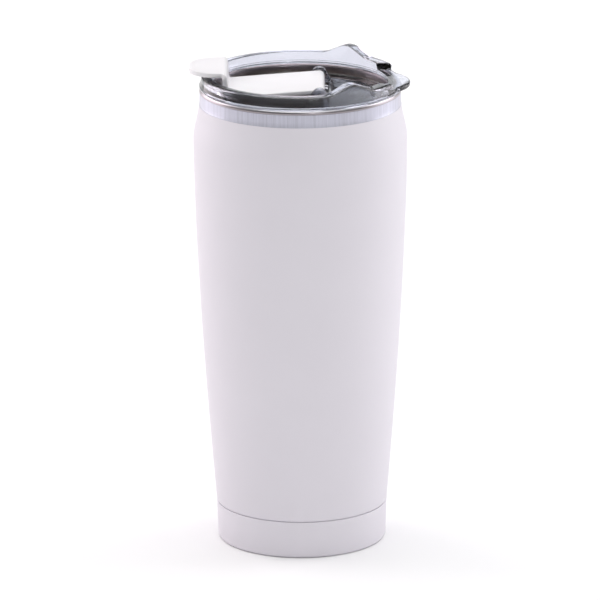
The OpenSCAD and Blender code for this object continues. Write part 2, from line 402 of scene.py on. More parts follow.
COAT = powder_coat()
BAND_STEEL = ground_steel("band_steel", (1500, 1500, 30), (0.6, 0.6, 0.69), 0.24)
# The liner's warm brown tone is a painted reflection of the dark, warm surroundings that its steel mirrors,
# not the steel's own colour.
LINER_STEEL = turned_steel("liner_steel", (0.8, 0.67, 0.6), 0.25)
# The lip's dark tone is painted shade for the shadow line under the lid's flange. Its lighter top is a
# painted highlight.
LIP_STEEL = turned_steel("lip_steel", (0.4, 0.365, 0.385), painted_highlight=LIP_PAINTED_HIGHLIGHT)
DISC_STEEL = turned_steel("disc_steel", (0.7, 0.7, 0.72))
PIN_STEEL = ground_steel("pin_steel", (6000, 300, 6000), (0.72, 0.72, 0.74), 0.18)
CLEAR = clear_plastic()
WHITE = white_plastic()
SILICONE = silicone()
floor.data.materials.append(studio_floor())
print("finishes:", len(bpy.data.materials))

# %% [markdown]
# ## Tools for modelling
# Real edges are never sharp, so an outline is a list of corners, each with its own rounding. Modelling starts
# from such outlines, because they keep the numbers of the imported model.

# %% Outlines
def rounded(corners, steps=5, closed=True):
    """Replaces each corner (across, up, radius) by a round stretch. A radius of 0 keeps the corner."""
    points = []
    count = len(corners)
    for i, (across, up, radius) in enumerate(corners):
        here = Vector((across, up))
        if radius == 0 or not closed and i in (0, count - 1):
            points.append(here)
            continue
        before = (Vector(corners[i - 1][:2]) - here).normalized()
        after = (Vector(corners[(i + 1) % count][:2]) - here).normalized()
        half = before.angle(after) / 2
        middle = here + (before + after).normalized() * radius / math.sin(half)
        reach = radius / math.tan(half)
        start, end = (here + before * reach - middle) / radius, (here + after * reach - middle) / radius
        points += [middle + radius * start.slerp(end, n / steps) for n in range(steps + 1)]
    return points


def arc(across, up, radius, start, end, steps):
    """Points on an arc. Angles are in degrees, from across towards up."""
    turns = [math.radians(start + (end - start) * n / steps) for n in range(steps + 1)]
    return [Vector((across + radius * math.cos(a), up + radius * math.sin(a))) for a in turns]


def steps_between(low, high, count):
    """Numbers from low to high, in equal steps."""
    return [low + (high - low) * i / count for i in range(count + 1)]


# %% [markdown]
# An operator acts on whatever is selected, so nothing may stay selected from the step before. Vertices and
# faces are picked by their place, much as a modeller would box-select them.

# %% Working with the selection
def start_clean():
    """Leaves edit mode and selects nothing."""
    if bpy.context.object and bpy.context.object.mode != "OBJECT":
        bpy.ops.object.mode_set(mode="OBJECT")
    bpy.ops.object.select_all(action="DESELECT")


def edit(piece):
    """Opens the piece in edit mode, with vertices to select."""
    start_clean()
    bpy.context.view_layer.objects.active = piece
    piece.select_set(True)
    bpy.ops.object.mode_set(mode="EDIT")
    bpy.ops.mesh.select_mode(type="VERT")


def pick(piece, test, kind="VERT"):
    """Selects the vertices or faces whose centre, in mm, passes the test, and nothing else."""
    bpy.ops.mesh.select_mode(type=kind)
    bpy.ops.mesh.select_all(action="DESELECT")
    bpy.ops.object.mode_set(mode="OBJECT")
    mesh, place = piece.data, piece.matrix_world
    if kind == "VERT":
        items = [(v, v.co) for v in mesh.vertices]
    else:
        items = [(f, f.center) for f in mesh.polygons]
    for item, centre in items:
        item.select = bool(test(place @ centre / MM))
    bpy.ops.object.mode_set(mode="EDIT")


# %% [markdown]
# A piece ends with some of these steps. Its place goes into its mesh, points that lie together are welded,
# faces are turned outwards, edges that aren't sharp are shaded smooth, and some sharp edges get a small bevel
# that catches the light.

# %% Finishing a mesh
WELD_WITHIN = 0.0005 * MM
SHARP = math.radians(50)


def settle(piece):
    """Puts the object's place, turn and size into its mesh."""
    start_clean()
    bpy.context.view_layer.objects.active = piece
    piece.select_set(True)
    bpy.ops.object.transform_apply(location=True, rotation=True, scale=True)


def finished(piece, smooth=35):
    """Settles the piece and smooths all but its sharp edges."""
    settle(piece)
    bpy.ops.object.shade_smooth_by_angle(angle=math.radians(smooth))
    return piece


def outwards(piece):
    """Welds what lies together and turns all faces outwards."""
    edit(piece)
    bpy.ops.mesh.select_all(action="SELECT")
    bpy.ops.mesh.remove_doubles(threshold=WELD_WITHIN)
    bpy.ops.mesh.normals_make_consistent(inside=False)
    bpy.ops.object.mode_set(mode="OBJECT")


def soften(piece, width, steps=3, test=None):
    """Bevels the sharp edges, or those of them whose middle passes the test."""
    edit(piece)
    bpy.ops.mesh.select_mode(type="EDGE")
    bpy.ops.mesh.select_all(action="DESELECT")
    bpy.ops.mesh.edges_select_sharp(sharpness=SHARP)
    if test:
        bpy.ops.object.mode_set(mode="OBJECT")
        corner = piece.data.vertices
        for e in piece.data.edges:
            middle = (corner[e.vertices[0]].co + corner[e.vertices[1]].co) / 2
            e.select = e.select and bool(test(piece.matrix_world @ middle / MM))
        bpy.ops.object.mode_set(mode="EDIT")
    bpy.ops.mesh.bevel(offset=width * MM, segments=steps, affect="EDGES")
    bpy.ops.object.mode_set(mode="OBJECT")
    return piece


# %% [markdown]
# Most of a tumbler is turned. Such a piece starts as a circle primitive, which is extruded ring by ring along
# an outline and scaled at each step. Spin could sweep a profile too, but its ends have to be welded, and a
# scaled ring stays exactly round.

# %% Turned solids
def turned(name, outline, sides=128):
    """A solid turned about Z from a closed outline of (radius, height), which may touch the axis."""
    points = [(max(p[0], 0) * MM, p[1] * MM) for p in outline]
    on_axis = points[0][0] == 0
    first = points[1] if on_axis else points[0]
    start_clean()
    bpy.ops.mesh.primitive_circle_add(
        vertices=sides, radius=first[0], location=(0, 0, first[1]),
        fill_type="TRIFAN" if on_axis else "NOTHING")
    piece = bpy.context.object
    piece.name = name
    edit(piece)
    if on_axis:
        pick(piece, lambda p: math.hypot(p.x, p.y) > first[0] * 0.5 / MM)
    else:
        bpy.ops.mesh.select_all(action="SELECT")
    radius, height = first
    rest = points[2:] if on_axis else points[1:] + points[:1]
    for new_radius, new_height in rest:
        bpy.ops.mesh.extrude_region_move(TRANSFORM_OT_translate={"value": (0, 0, new_height - height)})
        if new_radius == 0:
            bpy.ops.mesh.merge(type="CENTER")
            break
        scale = new_radius / radius
        bpy.ops.transform.resize(value=(scale, scale, 1), center_override=(0, 0, new_height))
        radius, height = new_radius, new_height
    outwards(piece)
    settle(piece)
    return piece


# %% [markdown]
# A flat piece is drawn: one vertex is extruded along the outline, and the face that fills it is pushed into a
# solid. The same helper draws a side view and a plan.

# %% Drawn solids
def drawn(name, outline, push):
    """A solid with this closed outline of 3-D points, pushed along a vector."""
    start_clean()
    bpy.ops.mesh.primitive_plane_add(size=MM, location=Vector(outline[0]) * MM)
    piece = bpy.context.object
    piece.name = name
    edit(piece)
    bpy.ops.mesh.select_all(action="SELECT")
    bpy.ops.mesh.merge(type="CENTER")
    ends = [Vector(p) for p in outline]
    for here, there in zip(ends, ends[1:] + ends[:1]):
        bpy.ops.mesh.extrude_region_move(TRANSFORM_OT_translate={"value": (there - here) * MM})
    bpy.ops.mesh.select_all(action="SELECT")
    bpy.ops.mesh.remove_doubles(threshold=WELD_WITHIN)
    bpy.ops.mesh.edge_face_add()
    bpy.ops.mesh.extrude_region_move(TRANSFORM_OT_translate={"value": Vector(push) * MM})
    outwards(piece)
    settle(piece)
    return piece


def drawn_side(name, outline, low_y, high_y):
    """A solid from a side view in X and Z."""
    return drawn(name, [(p[0], low_y, p[1]) for p in outline], (0, high_y - low_y, 0))


def drawn_plan(name, outline, low_z, high_z):
    """A solid from a plan in X and Y."""
    return drawn(name, [(p[0], p[1], low_z) for p in outline], (0, 0, high_z - low_z))


def slot_plan(x, width, length):
    """Plan of a flat slot with round ends, long in Y."""
    straight = (length - width) / 2
    return [*arc(x, straight, width / 2, 0, 180, 16), *arc(x, -straight, width / 2, 180, 360, 16)]


# %% Boxes and rods, to start from and to cut with
ALONG_Y = (math.pi / 2, 0, 0)


def box_solid(name, low, high):
    """A box between two corners."""
    start_clean()
    low, high = Vector(low) * MM, Vector(high) * MM
    bpy.ops.mesh.primitive_cube_add(size=1, location=(low + high) / 2, scale=high - low)
    bpy.context.object.name = name
    settle(bpy.context.object)
    return bpy.context.object


def rod(name, centre, radius, length, turn=(0, 0, 0), sides=64):
    """A cylinder along Z, or along Y with a quarter turn about X."""
    start_clean()
    bpy.ops.mesh.primitive_cylinder_add(
        vertices=sides, radius=radius * MM, depth=length * MM, location=Vector(centre) * MM, rotation=turn)
    bpy.context.object.name = name
    settle(bpy.context.object)
    return bpy.context.object


# %% [markdown]
# Solids are joined and cut with the Boolean modifier, which is applied at once. Its exact solver keeps a
# closed solid closed, as long as no two faces lie in the same plane.

# %% Joining and cutting
def apply_modifier(piece, kind, **settings):
    """Adds a modifier, sets it and applies it."""
    start_clean()
    bpy.context.view_layer.objects.active = piece
    piece.select_set(True)
    modifier = piece.modifiers.new(kind.lower(), kind)
    for name, value in settings.items():
        setattr(modifier, name, value)
    bpy.ops.object.modifier_apply(modifier=modifier.name)


def combine(piece, operation, *others):
    """Joins, cuts or keeps the common part of solids. The other solids are used up."""
    for other in others:
        apply_modifier(piece, "BOOLEAN", operation=operation, object=other, solver="EXACT")
        bpy.data.objects.remove(other)
    return piece


# %% [markdown]
# A finished piece has to move with the right part of the tumbler and stand in for its plain solid. One helper
# says all of that, so that each piece needs one line.

# %% Handing a piece over
def paint(piece, body, slot, *materials, stands_for):
    """Gives the piece its finish, its body and the CAD nodes that it stands for."""
    marks = [f.material_index for f in piece.data.polygons]
    piece.data.materials.clear()
    for material in materials:
        piece.data.materials.append(material)
    for face, mark in zip(piece.data.polygons, marks):
        face.material_index = mark if mark < len(materials) else 0
    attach(piece, body)
    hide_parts(*stands_for)
    triangles = sum(len(f.vertices) - 2 for f in piece.data.polygons)
    print(f"{piece.name}: {triangles} triangles")


def size_of(node):
    """Lowest and highest corner of a CAD node, in mm."""
    low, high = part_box(node)
    return Vector(low) / MM, Vector(high) / MM


# %% [markdown]
# ## The outer shell
# The real shell is a drawn steel tube, bulged to a gentle curve, necked in at the shoulder and coated up to
# a line below the lip. A formula gives its radius at each height, so the curve stays smooth at any number
# of rings. The coat has a thickness, so it ends in a small step above which the bare band shows.

# %% Sizes of the cup
CUP_SIDES = 160
SHEET = 0.5
COAT_T = 0.12
SHOULDER_H = 22.0
NECK_H = 9.0
BAND_H = 5.0
DOUBLE_WALL = 4.6
TAPER_POWER = 1.55
COAT_EDGE_BELOW_LIP = 7.1

shell_low, shell_high = size_of("outer_shell")
liner_low, liner_high = size_of("inner_liner")
base_high = size_of("base_cup")[1]
BODY_R, BAND_R, SEAM_R = shell_high.x, liner_high.x, base_high.x
CUP_H, SEAM_Z, WELD_Z = liner_high.z, shell_low.z, shell_high.z
FLOOR_Z = liner_low.z + SHEET
WIDE_Z = CUP_H - SHOULDER_H
BAND_Z = CUP_H - BAND_H
NECK_Z = WIDE_Z + NECK_H
MOUTH_R = 38.2
COAT_EDGE_Z = CUP_H - COAT_EDGE_BELOW_LIP
print("cup", round(CUP_H, 1), "mm high, body", round(2 * BODY_R, 1), "mm, band", round(2 * BAND_R, 1), "mm")


def ease(t):
    """A smooth rise from 0 to 1."""
    return (1 - math.cos(math.pi * t)) / 2


def body_radius(z):
    """Radius of the body's outer face at a height."""
    if z <= WIDE_Z:
        return BODY_R - (BODY_R - SEAM_R) * ((WIDE_Z - z) / (WIDE_Z - SEAM_Z)) ** TAPER_POWER
    if z < BAND_Z:
        return BODY_R + (BAND_R - BODY_R) * ease((z - WIDE_Z) / (BAND_Z - WIDE_Z))
    return BAND_R


# %% Outer shell
def model_outer_shell():
    coat_heights = steps_between(SEAM_Z + 0.3, WIDE_Z, 44)[:-1]
    coat_heights += steps_between(WIDE_Z, COAT_EDGE_Z - 0.15, 16)
    coat_end = body_radius(COAT_EDGE_Z)
    shown = [(SEAM_R - 0.25, SEAM_Z), (SEAM_R - 0.06, SEAM_Z + 0.07)]
    shown += [(body_radius(z), z) for z in coat_heights]
    shown += [(coat_end - COAT_T * 0.35, COAT_EDGE_Z), (coat_end - COAT_T, COAT_EDGE_Z + 0.03)]
    shown += [(body_radius(z) - COAT_T, z) for z in (COAT_EDGE_Z + 0.8, COAT_EDGE_Z + 1.6)]
    shown += [(BAND_R - COAT_T, z) for z in steps_between(BAND_Z + 0.4, WELD_Z - 0.15, 3)]
    shown += [(BAND_R - 0.22, WELD_Z - 0.02)]
    hidden = [(body_radius(z) - SHEET, z) for z in steps_between(WELD_Z, SEAM_Z, 30)]
    piece = turned("outer_shell_coated", shown + hidden, CUP_SIDES)
    piece.data.materials.append(COAT)
    piece.data.materials.append(BAND_STEEL)
    edit(piece)
    pick(piece, lambda p: p.z > COAT_EDGE_Z or math.hypot(p.x, p.y) < body_radius(p.z) - 0.3, "FACE")
    piece.active_material_index = 1
    bpy.ops.object.material_slot_assign()
    return finished(piece)


paint(model_outer_shell(), "cup", "coated_steel", COAT, BAND_STEEL, stands_for=["outer_shell"])

# %% [markdown]
# ## The base cup
# The bottom of the real tumbler is a shallow cup of its own, pressed from sheet, pushed up into the shell
# and joined at the seam. It turns under with a round edge, stands on a narrow ring and has a recess inside
# that. One outline follows its outer face and comes back along its inner face.

# %% Base cup
FOOT_R = 34.4
RECESS_R = 29.0
RECESS_H = 2.5
SEAM_GAP = 0.4


def model_base_cup():
    seam = SEAM_Z - SEAM_GAP
    sleeve = SEAM_R - SHEET - 0.05
    corners = [
        (sleeve, base_high.z, 0.1), (sleeve, seam, 0.05), (SEAM_R, seam, 0.18),
        (FOOT_R, 0, 1.4), (RECESS_R, 0, 0.5), (RECESS_R - 0.6, RECESS_H, 0.3), (0.8, RECESS_H, 0),
        (0.8, RECESS_H + SHEET, 0), (RECESS_R - 0.1, RECESS_H + SHEET, 0.6), (RECESS_R + SHEET, SHEET, 0.3),
        (FOOT_R - SHEET, SHEET, 0.9), (SEAM_R - SHEET, seam - SHEET, 0.1),
        (sleeve - SHEET, seam - SHEET, 0.1), (sleeve - SHEET, base_high.z, 0.1),
    ]
    return finished(turned("base_cup_coated", rounded(corners), CUP_SIDES))


paint(model_base_cup(), "cup", "coated_steel", COAT, stands_for=["base_cup"])

# %% [markdown]
# The base disc closes the recess over the vacuum seal. It is a thin pressing with a round bead near its
# edge, which stiffens it. It is turned like the others, from its centre outwards and back.

# %% Base disc
def model_base_disc():
    low, high = size_of("base_disc")
    face = high.z - SHEET
    corners = [
        (0, face, 0), (high.x - 6.6, face, 0.5), (high.x - 5.6, low.z, 0.5), (high.x - 4.4, low.z, 0.5),
        (high.x - 3.4, face, 0.5), (high.x, face, 0.2), (high.x, high.z, 0.1), (high.x - 3, high.z, 0.4),
        (high.x - 4.2, low.z + SHEET, 0.4), (high.x - 5.8, low.z + SHEET, 0.4), (high.x - 7, high.z, 0.4),
        (0, high.z, 0),
    ]
    return finished(turned("base_disc_pressed", rounded(corners, 4)))


paint(model_base_disc(), "cup", "bare_steel", DISC_STEEL, stands_for=["base_disc"])

# %% [markdown]
# ## The liner
# The inner cup is drawn from one sheet: a round-cornered floor, a wall that follows the body, a neck and a
# lip rolled over to meet the shell. The rolled lip is what a mouth touches, so it is polished, and it needs
# more rings than the rest.

# %% Liner
FLOOR_CORNER_R = 7.0
LIP_R = (BAND_R - MOUTH_R) / 2


def liner_radius(z):
    """Radius of the liner's inner face at a height."""
    if z <= WIDE_Z:
        return body_radius(z) - DOUBLE_WALL
    if z < NECK_Z:
        neck_from = BODY_R - DOUBLE_WALL
        return neck_from + (MOUTH_R - neck_from) * ease((z - WIDE_Z) / (NECK_Z - WIDE_Z))
    return MOUTH_R


def model_liner():
    wall_low = FLOOR_Z + FLOOR_CORNER_R
    corner_x = liner_radius(wall_low) - FLOOR_CORNER_R
    heights = steps_between(wall_low, WIDE_Z, 30) + steps_between(WIDE_Z, NECK_Z, 8)[1:]
    lip_x, lip_z = BAND_R - LIP_R, CUP_H - LIP_R
    shown = [(0, FLOOR_Z), (6, FLOOR_Z - 0.02), (corner_x - 6, FLOOR_Z)]
    shown += arc(corner_x, wall_low, FLOOR_CORNER_R, -90, 0, 12)[:-1]
    shown += [(liner_radius(z), z) for z in heights]
    shown += arc(lip_x, lip_z, LIP_R, 180, 0, 18)
    shown += [(BAND_R, WELD_Z + 0.12), (BAND_R - 0.08, WELD_Z + 0.02)]
    hidden = [(BAND_R - SHEET, WELD_Z + 0.02)]
    hidden += arc(lip_x, lip_z, LIP_R - SHEET, 0, 180, 12)
    hidden += [(liner_radius(z) + SHEET, z) for z in reversed(heights)]
    hidden += arc(corner_x, wall_low, FLOOR_CORNER_R + SHEET, 0, -90, 12)[1:]
    hidden += [(0, FLOOR_Z - SHEET)]
    piece = turned("liner_polished", shown + hidden, CUP_SIDES)
    piece.data.materials.append(LINER_STEEL)
    piece.data.materials.append(LIP_STEEL)
    edit(piece)
    pick(piece, lambda p: p.z > CUP_H - 2 * LIP_R and math.hypot(p.x, p.y) > lip_x - 0.5 * LIP_R, "FACE")
    piece.active_material_index = 1
    bpy.ops.object.material_slot_assign()
    return finished(piece)


paint(model_liner(), "cup", "bare_steel", LINER_STEEL, LIP_STEEL, stands_for=["inner_liner"])

# %% [markdown]
# ## The clear lid
# The lid is one injection moulding: a deck, a well wall that becomes the rim, a flange that rests on the
# lip, and a grooved skirt below for the gasket. All that is turned. The rim is then raised to its two crests
# and notched at the rear. The lug, the ears that hold the pin and the drinking hole's border are made with
# their edges already rounded and are joined to it, so that the lid is one closed solid. Clear plastic needs
# that, because a face left inside would show as a line.

# %% Sizes of the lid
LID_SIDES = 192
lid_low, lid_high = size_of("lid_body")
pin_low, pin_high = size_of("hinge_pin")
cover_low, cover_high = size_of("flip_cover")
HINGE_X = (pin_low.x + pin_high.x) / 2
HINGE_Z = (pin_low.z + pin_high.z) / 2
RIM_Z = CUP_H + 5.3
DECK_Z = CUP_H - 3.5
DECK_LOW = DECK_Z - 1.8
WELL_R = 36.3
RIM_R = 40.0
SEAT_Z = CUP_H + 0.2
SKIRT_LOW = lid_low.z
SKIRT_IN_R = 33.6
GROOVE_R = 35.2
print("hinge axis at X", round(HINGE_X, 2), "Z", round(HINGE_Z, 2))


# %% Turned part of the lid
def model_lid_turned():
    corners = [
        (0, DECK_LOW, 0), (SKIRT_IN_R, DECK_LOW, 0.8), (SKIRT_IN_R, SKIRT_LOW, 0.35),
        (MOUTH_R - 1, SKIRT_LOW, 0.35), (MOUTH_R - 1, SKIRT_LOW + 1, 0.2),
        (GROOVE_R, SKIRT_LOW + 1, 0.1), (GROOVE_R, DECK_LOW - 1, 0.1),
        (MOUTH_R - 0.4, DECK_LOW - 1, 0.3), (MOUTH_R - 0.4, SEAT_Z, 0.2), (BAND_R - 0.1, SEAT_Z, 0.25),
        (BAND_R - 0.1, SEAT_Z + 0.8, 0.3), (RIM_R + 0.6, SEAT_Z + 0.8, 0.1), (RIM_R, RIM_Z, 1.3),
        (WELL_R, RIM_Z, 0.7), (WELL_R, DECK_Z, 0.8), (0, DECK_Z, 0),
    ]
    return turned("lid_clear", rounded(corners), LID_SIDES)


lid = model_lid_turned()
print("lid turned with", LID_SIDES, "sides, well", 2 * WELL_R, "mm wide")

# %% [markdown]
# The crests are shaped as they would be by hand: the rim's top edge is picked at the crest's middle and
# pulled up, and proportional editing lets the edge on both sides follow along a smooth curve. Everything
# below the edge is hidden first, so that it stays.

# %% Crests
CREST_X = 20.0
CREST_R = 38.1
CREST_REACH = 12.4


def raise_crests(piece, height):
    """Pulls up the rim's top edge by this many mm at both crests."""
    half_step = 0.6 * 2 * math.pi / LID_SIDES
    for side in (-1, 1):
        edit(piece)
        pick(piece, lambda p: p.z < RIM_Z - 2)
        bpy.ops.mesh.hide(unselected=False)
        bpy.ops.object.mode_set(mode="OBJECT")
        aim = math.atan2(side * math.sqrt(CREST_R ** 2 - CREST_X ** 2), CREST_X)
        for v in piece.data.vertices:
            v.select = not v.hide and abs(math.atan2(v.co.y, v.co.x) - aim) < half_step
        bpy.ops.object.mode_set(mode="EDIT")
        bpy.ops.transform.translate(
            value=(0, 0, height * MM), use_proportional_edit=True, proportional_edit_falloff="SMOOTH",
            proportional_size=CREST_REACH * MM)
        bpy.ops.mesh.reveal(select=False)
        bpy.ops.object.mode_set(mode="OBJECT")


raise_crests(lid, lid_high.z - RIM_Z)
print("crests reach", round(max(v.co.z for v in lid.data.vertices) / MM, 2), "mm")

# %% [markdown]
# Behind the crests the rim is thicker on both sides, which stiffens it beside the notch. A second ring joined
# on would leave seams, so the rim's own top is scaled out and in, in small steps that start further and
# further back. Each step is too small to see, and together they make a smooth swelling.

# %% Thick rear of the rim
THICK_FROM_X = 12.0
THICK_FULL_X = 21.0
THICK_OUT_R = 40.7
THICK_IN_R = 35.4
THICK_STEPS = 9


def thicken_crests(piece):
    """Widens the top of the rim, a little at each X, so that it grows from the level rim to the rear."""
    low_z = RIM_Z - 1.5
    middle = (RIM_R + WELL_R) / 2
    growth = (THICK_OUT_R / RIM_R) ** (1 / THICK_STEPS)
    shrink = (THICK_IN_R / WELL_R) ** (1 / THICK_STEPS)
    for i in range(THICK_STEPS):
        from_x = THICK_FROM_X + (THICK_FULL_X - THICK_FROM_X) * i / THICK_STEPS
        for factor, outside in ((growth, True), (shrink, False)):
            edit(piece)
            pick(piece, lambda p: (
                p.z > low_z and p.x > from_x and (math.hypot(p.x, p.y) > middle) == outside))
            bpy.ops.transform.resize(value=(factor, factor, 1), center_override=(0, 0, 0))
            bpy.ops.object.mode_set(mode="OBJECT")


thicken_crests(lid)
print("rim", round(THICK_OUT_R - THICK_IN_R, 2), "mm thick beside the notch")

# %% [markdown]
# The notch lets the folded cover pass, and the lug under it gives a thumb something to lift the lid by. The
# notch is cut with a box whose lower edges are rounded, and its upright edges are bevelled after the cut. The
# lug is a round plate, cut to the rim's curve and joined on.

# %% Notch and lug
NOTCH_X = 28.0
NOTCH_HALF = 16.8
NOTCH_Z = CUP_H + 2.3
LUG_R = 17.0
LUG_T = 2.1


def model_notch_cut():
    cut = box_solid("notch", (NOTCH_X, -NOTCH_HALF, NOTCH_Z), (NOTCH_X + 30, NOTCH_HALF, NOTCH_Z + 20))
    return soften(cut, 0.45, test=lambda p: p.z < NOTCH_Z + 1)


def model_lug():
    lug = rod("lug", (lid_high.x - LUG_R, 0, NOTCH_Z - LUG_T / 2), LUG_R, LUG_T, sides=144)
    soften(lug, 0.75, 5)
    return combine(lug, "DIFFERENCE", rod("well", (0, 0, CUP_H), WELL_R + 0.9, 30, sides=144))


def on_notch_end(p):
    """True on the upright edges at the notch's two ends."""
    return abs(abs(p.y) - NOTCH_HALF) < 0.03 and p.z > NOTCH_Z + 0.5 and p.x > NOTCH_X


combine(lid, "DIFFERENCE", model_notch_cut())
soften(lid, 0.4, test=on_notch_end)
combine(lid, "UNION", model_lug())
print("notch", 2 * NOTCH_HALF, "mm wide, lug reaches X", round(lid_high.x, 2))

# %% [markdown]
# The ears are drawn from the side, with a round head over the pin and a wide foot on the deck. A low wall
# joins them behind the barrel. The drinking hole has a raised border that the seal presses on.

# %% Ears, holes and the stop wall
EAR_IN = 16.6
EAR_T = 2.2
EAR_X = (1.6, 13.1)
EAR_HEAD_R = 3.3
PIN_BORE_R = 1.03
VENT_HOLE_R = 1.5
DRINK_X = -22.0
VENT_X = -5.0


def model_ears():
    side_view = [
        (EAR_X[0], DECK_Z - 0.6), (EAR_X[0], DECK_Z + 1.2),
        *arc(HINGE_X, HINGE_Z, EAR_HEAD_R, 155, 25, 14),
        (EAR_X[1], DECK_Z + 1.2), (EAR_X[1], DECK_Z - 0.6),
    ]
    ears = []
    for side in (-1, 1):
        near, far = sorted((side * EAR_IN, side * (EAR_IN + EAR_T)))
        ears.append(soften(drawn_side("ear", side_view, near, far), 0.35, test=lambda p: p.z > DECK_Z + 0.3))
    return ears


def model_stop_wall():
    low = (EAR_X[1] - 1.8, -EAR_IN - 0.8, DECK_Z - 0.6)
    high = (EAR_X[1] - 0.02, EAR_IN + 0.8, DECK_Z + 1.7)
    wall = box_solid("stop", low, high)
    return soften(wall, 0.5, test=lambda p: p.z > DECK_Z + 1.6 and abs(p.y) < EAR_IN)


def model_boss():
    boss = drawn_plan("boss", slot_plan(DRINK_X, 9.4, 18.4), DECK_Z - 0.6, DECK_Z + 0.5)
    return soften(boss, 0.3, test=lambda p: p.z > DECK_Z + 0.4)


combine(lid, "UNION", *model_ears(), model_stop_wall(), model_boss())
combine(
    lid, "DIFFERENCE",
    drawn_plan("drink_hole", slot_plan(DRINK_X, 7, 16), DECK_LOW - 3, DECK_Z + 3),
    rod("vent_hole", (VENT_X, 0, DECK_Z), VENT_HOLE_R, 12, sides=48),
    rod("pin_bore", (HINGE_X, 0, HINGE_Z), PIN_BORE_R, 60, ALONG_Y, 48),
)
outwards(lid)
paint(finished(lid, 30), "lid", "clear_plastic", CLEAR, stands_for=["lid_body"])

# %% [markdown]
# ## Gasket
# The gasket is a soft sleeve in the skirt's groove with three fins that press on the steel. It is turned
# too. The fins get round edges, because silicone doesn't hold a sharp one.

# %% Gasket
def model_gasket():
    low, high = size_of("lid_gasket")
    inner, core, fin_t = 35.24, 36.4, 0.6
    pitch = (high.z - low.z - fin_t) / 2
    corners = [(inner, low.z, 0.1)]
    for i in range(3):
        fin = low.z + i * pitch
        corners += [(core, fin, 0.1)] if i else []
        corners += [(high.x, fin, 0.22), (high.x, fin + fin_t, 0.22)]
        corners += [(core, fin + fin_t, 0.1)] if i < 2 else []
    corners += [(inner, high.z, 0.1)]
    return finished(turned("gasket_finned", rounded(corners, 4), CUP_SIDES))


paint(model_gasket(), "lid", "silicone", SILICONE, stands_for=["lid_gasket"])

# %% [markdown]
# ## The flip cover
# The cover is one white moulding: a leaning plate, a riser at its front and a thumb tab, all in one bent
# strip. So it is made as a strip: a rounded cross-section is extruded along the middle line of the side
# view, and at each step it is turned to the line, and scaled to the plan's width there. That keeps its
# long edges evenly round through both bends, which a bevel on the finished solid would not do.

# %% Middle line of the cover
PLATE_T = 1.8
TAB_T = 1.9
BARREL_R = 2.2
HALF_PLATE = cover_high.y
HALF_TAB = 13.9
TAB_END_R = 11.5
TAB_TIP_X = cover_low.x
TAB_MID_Z = cover_high.z - TAB_T / 2
CORNER_R = 2.0
PLATE_LEFT_X = -31.4
PLATE_FOOT = (-28.7, CUP_H - 0.2)
RISER_FOOT_X = -29.6
RISER_HEAD_X = -30.5
LEAN = math.atan((HINGE_Z + BARREL_R - PLATE_FOOT[1]) / (HINGE_X - PLATE_FOOT[0]))
print("plate leans", round(math.degrees(LEAN), 1), "degrees")


def plate_top(x):
    """Height of the plate's top face at an X."""
    return HINGE_Z + BARREL_R / math.cos(LEAN) - (HINGE_X - x) * math.tan(LEAN)


def half_width(x):
    """Half of the plan's width at an X: the plate, its rounded corners, the tab and the tab's round end."""
    tip = TAB_END_R + TAB_TIP_X
    if x < tip:
        return HALF_TAB - TAB_END_R + math.sqrt(max(TAB_END_R ** 2 - (x - tip) ** 2, 0))
    corner = PLATE_LEFT_X + CORNER_R
    if x < PLATE_LEFT_X:
        return HALF_TAB
    if x < corner:
        round_end = HALF_PLATE - CORNER_R + math.sqrt(max(CORNER_R ** 2 - (x - corner) ** 2, 0))
        return max(HALF_TAB, round_end)
    return HALF_PLATE


def cover_line():
    """Points (x, z) along the middle line, from the barrel to the tip of the tab."""
    start = HINGE_X - BARREL_R * math.sin(LEAN)
    line = [
        (start, plate_top(start) - PLATE_T / 2, 0),
        (RISER_FOOT_X, plate_top(RISER_FOOT_X) - PLATE_T / 2, 1.5),
        (RISER_HEAD_X, TAB_MID_Z, 0.9),
        (TAB_TIP_X + TAB_END_R, TAB_MID_Z, 0),
    ]
    points = rounded(line, 8, closed=False)
    tip = [(TAB_TIP_X + TAB_END_R * (1 - math.sin(math.radians(a))), TAB_MID_Z) for a in range(6, 91, 6)]
    dense = []
    for here, there in zip(points, points[1:]):
        count = max(1, round((there - here).length / 0.8))
        dense += [here.lerp(there, n / count) for n in range(count)]
    return dense + [points[-1]] + [Vector(p) for p in tip]


# %% [markdown]
# The strip starts as a small upright plane with rounded corners, and every step of the line extrudes it, sets
# it to the new width and thickness, and turns it to the new direction. The last two steps thin the tab's tip.

# %% Strip
RISER_SWELL = 0.25
TIP_THICKNESS = (0.92, 0.55)


def turn_selection(angle, centre):
    """Turns the selection about Y. With no window, the operator counts angles the other way."""
    bpy.ops.transform.rotate(value=-angle, orient_axis="Y", center_override=centre)


